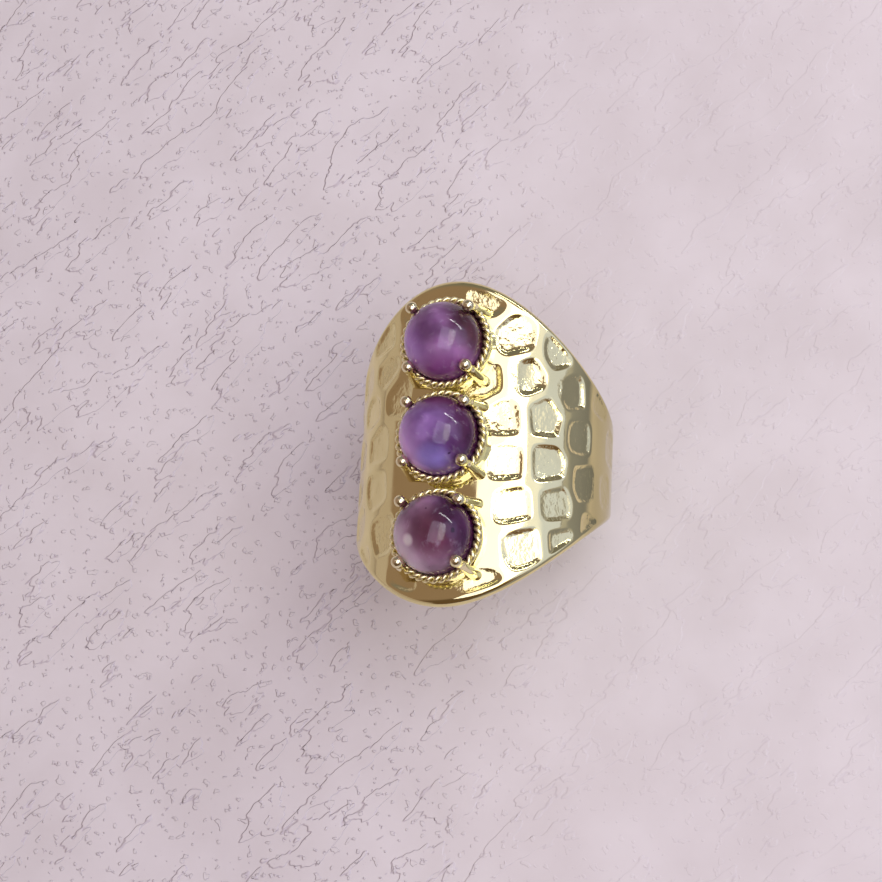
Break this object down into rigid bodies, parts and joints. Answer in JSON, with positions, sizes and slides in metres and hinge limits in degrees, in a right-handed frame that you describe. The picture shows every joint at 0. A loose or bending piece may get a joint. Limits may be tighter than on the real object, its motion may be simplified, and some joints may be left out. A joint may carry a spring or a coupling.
{
  "type": "cocktail ring",
  "caption": "Wide hammered finger ring tapering to a narrow shank, with a row of round cabochons held by prongs inside collars of twisted wire.",
  "frame": {"origin": "centre of the finger hole, midway between the face's two long edges", "axes": "+Y along the finger through the hole, +Z out of the face through the middle stone, +X across the hand"},
  "size_m": [0.02, 0.0256, 0.0247],
  "materials": {
    "gold_plate": "polished pale gold plate on brass",
    "amethyst": "polished, translucent, a little cloudy"
  },
  "bodies": {
    "root": {"hammered_band": "gold_plate", "upper_seat_cup": "gold_plate", "middle_seat_cup": "gold_plate", "lower_seat_cup": "gold_plate", "upper_collar_wire_a": "gold_plate", "upper_collar_wire_b": "gold_plate", "middle_collar_wire_a": "gold_plate", "middle_collar_wire_b": "gold_plate", "lower_collar_wire_a": "gold_plate", "lower_collar_wire_b": "gold_plate", "upper_prong_ne": "gold_plate", "upper_prong_nw": "gold_plate", "upper_prong_sw": "gold_plate", "upper_prong_se": "gold_plate", "middle_prong_ne": "gold_plate", "middle_prong_nw": "gold_plate", "middle_prong_sw": "gold_plate", "middle_prong_se": "gold_plate", "lower_prong_ne": "gold_plate", "lower_prong_nw": "gold_plate", "lower_prong_sw": "gold_plate", "lower_prong_se": "gold_plate", "upper_cabochon": "amethyst", "middle_cabochon": "amethyst", "lower_cabochon": "amethyst"}
  },
  "joints": []
}
